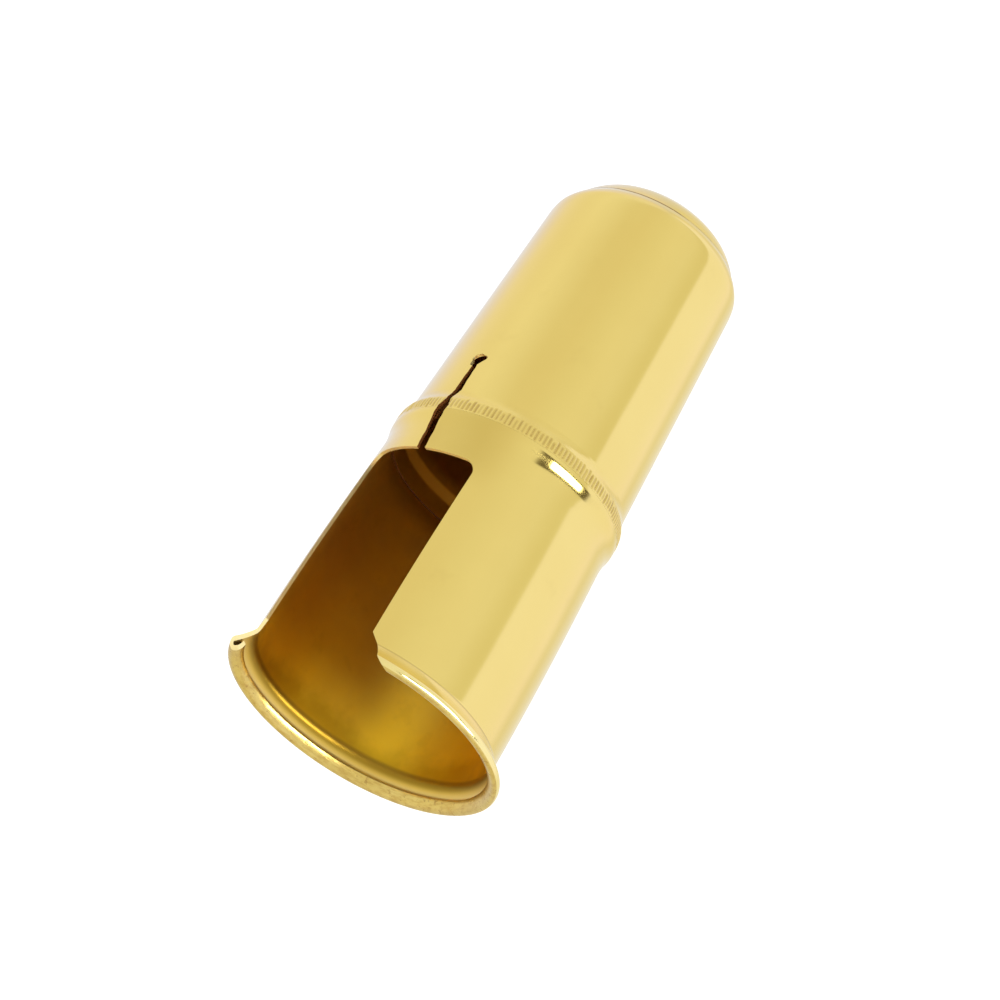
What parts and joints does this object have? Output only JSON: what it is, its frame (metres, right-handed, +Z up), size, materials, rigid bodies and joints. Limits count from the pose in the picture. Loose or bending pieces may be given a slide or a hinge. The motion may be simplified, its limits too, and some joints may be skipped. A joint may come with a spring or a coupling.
{
  "type": "saxophone mouthpiece cap",
  "caption": "Tapered brass mouthpiece cap with an open curled rim, a window with a spring slit, a milled ring over its joint and a pressed crown disc, lying on its side.",
  "frame": {"origin": "on the surface that the cap lies on, under the centre of its bounding box", "axes": "+X from the open mouth to the crown along the ground (the cap's own axis dips 4.11 degrees towards the crown), +Z up, where the window faces"},
  "size_m": [0.0754, 0.034, 0.03],
  "materials": {
    "polished_brass": "polished outside, dull and amber inside",
    "milled_brass": "milled ribs, slightly darkened between them"
  },
  "bodies": {
    "root": {"skirt_shell": "polished_brass", "crown_shell": "polished_brass", "crown_disc": "polished_brass", "knurled_ring": "milled_brass"}
  },
  "joints": []
}
